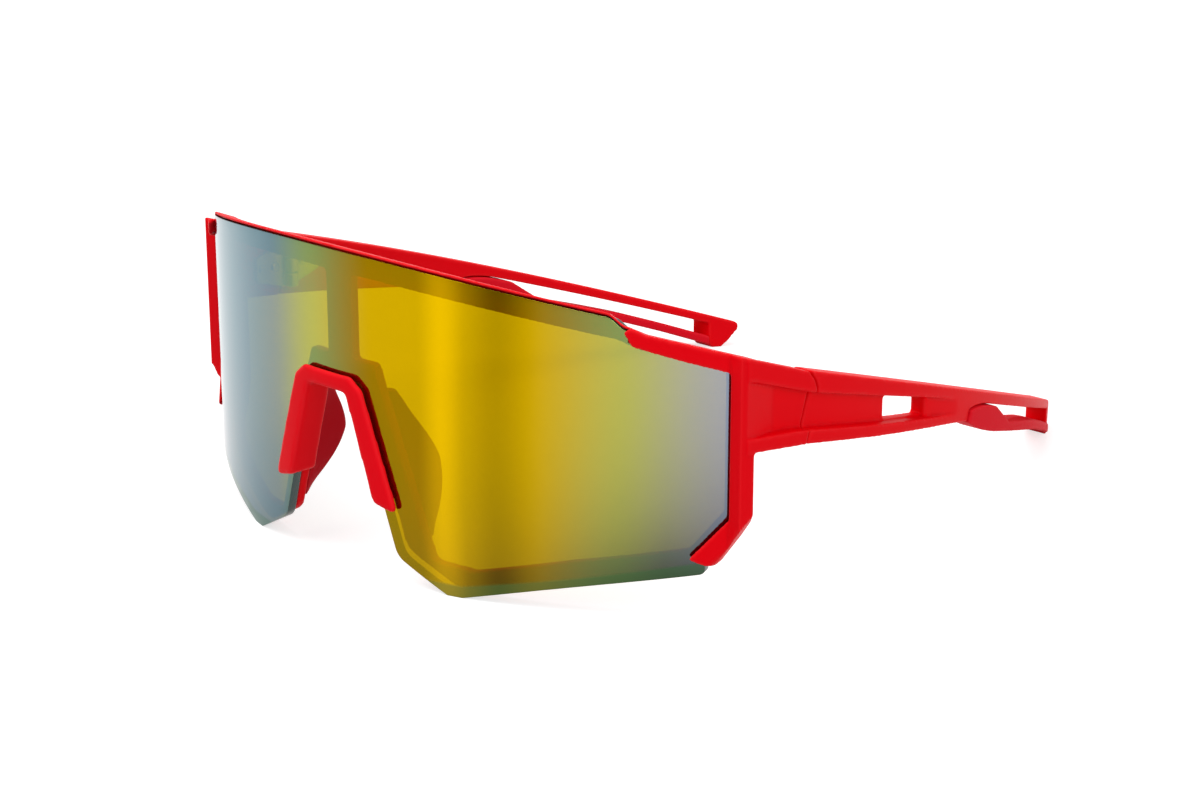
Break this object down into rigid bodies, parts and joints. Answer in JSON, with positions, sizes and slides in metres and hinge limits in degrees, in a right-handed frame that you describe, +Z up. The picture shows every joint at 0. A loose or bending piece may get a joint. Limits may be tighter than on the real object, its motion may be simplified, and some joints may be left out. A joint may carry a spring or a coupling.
{
  "type": "sport sunglasses",
  "caption": "Wrap sport sunglasses with a one-piece curved shield lens in a thin rear frame, a V nose clip, soft nose pads and folding temples with ear grips.",
  "frame": {"origin": "bottom centre of the bounding box with the temples open", "axes": "+X towards the wearer's left, +Y from the lens back towards the ears, +Z up"},
  "size_m": [0.147, 0.1584, 0.0599],
  "materials": {
    "frame_red": "satin moulded nylon",
    "lens_gold": "gold mirror coating on tinted polycarbonate",
    "clip_red": "semi-gloss",
    "pad_rubber": "soft matte",
    "grip_rubber": "soft matte",
    "hinge_steel": "brushed"
  },
  "bodies": {
    "front": {"shield_lens": "lens_gold", "front_frame": "frame_red", "nose_clip": "clip_red", "nose_pad_left": "pad_rubber", "nose_pad_right": "pad_rubber", "hinge_leaf_frame_left": "hinge_steel", "hinge_screw_left": "hinge_steel", "rivet_frame_left_1": "hinge_steel", "rivet_frame_left_2": "hinge_steel", "hinge_leaf_frame_right": "hinge_steel", "hinge_screw_right": "hinge_steel", "rivet_frame_right_1": "hinge_steel", "rivet_frame_right_2": "hinge_steel"},
    "left_arm": {"temple_left": "frame_red", "ear_grip_left": "grip_rubber", "hinge_leaf_temple_left": "hinge_steel", "rivet_temple_left_1": "hinge_steel", "rivet_temple_left_2": "hinge_steel"},
    "right_arm": {"temple_right": "frame_red", "ear_grip_right": "grip_rubber", "hinge_leaf_temple_right": "hinge_steel", "rivet_temple_right_1": "hinge_steel", "rivet_temple_right_2": "hinge_steel"}
  },
  "joints": [
    {"name": "left_hinge", "type": "hinge", "parent": "front", "child": "left_arm", "pos_m": [0.0663, -0.03128, 0.036], "axis": [0, 0, 1], "range_deg": [0, 85]},
    {"name": "right_hinge", "type": "hinge", "parent": "front", "child": "right_arm", "pos_m": [-0.0663, -0.03128, 0.036], "axis": [0, 0, 1], "range_deg": [-76, 0]}
  ]
}
